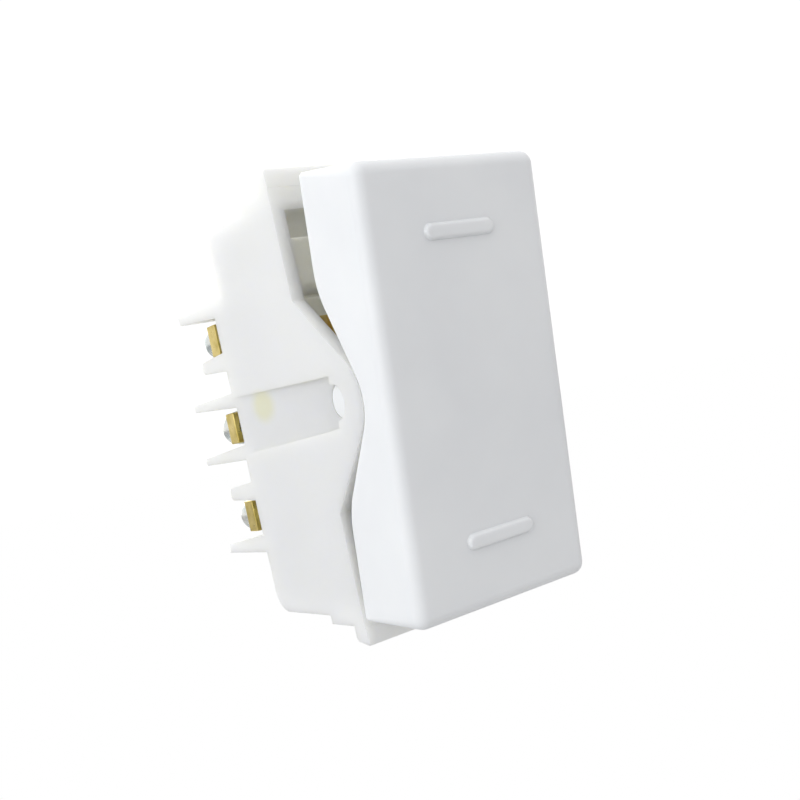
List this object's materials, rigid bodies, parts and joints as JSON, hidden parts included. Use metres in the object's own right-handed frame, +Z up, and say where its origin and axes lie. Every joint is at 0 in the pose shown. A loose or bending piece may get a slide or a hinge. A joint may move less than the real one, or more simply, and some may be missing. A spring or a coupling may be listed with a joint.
{
  "type": "rocker wall switch",
  "caption": "Two-way rocker wall-switch module: white tilting key on a translucent housing with pivot ears, snap lugs, barrier fins and screw terminals.",
  "frame": {"origin": "centre of the module on the seat plane of its mounting lugs", "axes": "+X across the module, +Y rearwards to the terminals, +Z up along the key's height; the key faces -Y"},
  "size_m": [0.0224, 0.0477, 0.0504],
  "materials": {
    "nylon": "translucent natural nylon, satin",
    "key_white": "white urea or ABS, satin gloss",
    "phenolic": "moulded brown phenolic",
    "spring_steel": "drawn spring wire",
    "blade_brass": "rolled and pressed",
    "contact_silver": "silver alloy contact",
    "pin_steel": "ground pin",
    "terminal_brass": "rolled and pressed",
    "clamp_brass": "tumbled",
    "zinc_screw": "clear zinc plate"
  },
  "bodies": {
    "housing": {"housing": "nylon", "seesaw_pin": "pin_steel", "common_terminal": "terminal_brass", "upper_terminal": "terminal_brass", "lower_terminal": "terminal_brass", "fixed_contact_upper": "contact_silver", "fixed_contact_lower": "contact_silver"},
    "key": {"rocker_key": "key_white", "plunger_spring": "spring_steel"},
    "plunger": {"plunger": "phenolic"},
    "seesaw": {"seesaw_blade": "blade_brass", "moving_contact_upper": "contact_silver", "moving_contact_lower": "contact_silver"},
    "upper_clamp": {"upper_clamp_plate": "clamp_brass"},
    "upper_screw": {"upper_terminal_screw": "zinc_screw"},
    "common_clamp": {"common_clamp_plate": "clamp_brass"},
    "common_screw": {"common_terminal_screw": "zinc_screw"},
    "lower_clamp": {"lower_clamp_plate": "clamp_brass"},
    "lower_screw": {"lower_terminal_screw": "zinc_screw"}
  },
  "joints": [
    {"name": "key_rock", "type": "hinge", "parent": "housing", "child": "key", "pos_m": [0, -0.0039, 0], "axis": [-1, 0, 0], "range_deg": [0, 15.8]},
    {"name": "plunger_slide", "type": "slide", "parent": "key", "child": "plunger", "axis": [0, -0.9905, -0.1374], "range_m": [0, 0.0008], "stiffness_N_per_m": 400, "springref_m": -0.002, "deforming": ["plunger_spring"]},
    {"name": "seesaw_tip", "type": "hinge", "parent": "housing", "child": "seesaw", "pos_m": [0, 0.0087, 0], "axis": [1, 0, 0], "range_deg": [0, 17.38]},
    {"name": "upper_clamp_slide", "type": "slide", "parent": "housing", "child": "upper_clamp", "axis": [0, -1, 0], "range_m": [0, 0.003]},
    {"name": "upper_screw_turn", "type": "hinge", "parent": "upper_clamp", "child": "upper_screw", "pos_m": [-0.0073, 0.02555, 0.01105], "axis": [0, -1, 0], "range_deg": [0, 2160.1]},
    {"name": "common_clamp_slide", "type": "slide", "parent": "housing", "child": "common_clamp", "axis": [0, -1, 0], "range_m": [0, 0.003]},
    {"name": "common_screw_turn", "type": "hinge", "parent": "common_clamp", "child": "common_screw", "pos_m": [-0.0073, 0.02585, 0], "axis": [0, -1, 0], "range_deg": [0, 2160.1]},
    {"name": "lower_clamp_slide", "type": "slide", "parent": "housing", "child": "lower_clamp", "axis": [0, -1, 0], "range_m": [0, 0.003]},
    {"name": "lower_screw_turn", "type": "hinge", "parent": "lower_clamp", "child": "lower_screw", "pos_m": [-0.0073, 0.02605, -0.01105], "axis": [0, -1, 0], "range_deg": [0, 2160.1]}
  ],
  "couplings": [
    {"joint": "seesaw_tip", "follows": "key_rock", "ratio": 1.1},
    {"joint": "upper_screw_turn", "follows": "upper_clamp_slide", "rad_per_m": 12566},
    {"joint": "common_screw_turn", "follows": "common_clamp_slide", "rad_per_m": 12566},
    {"joint": "lower_screw_turn", "follows": "lower_clamp_slide", "rad_per_m": 12566}
  ]
}
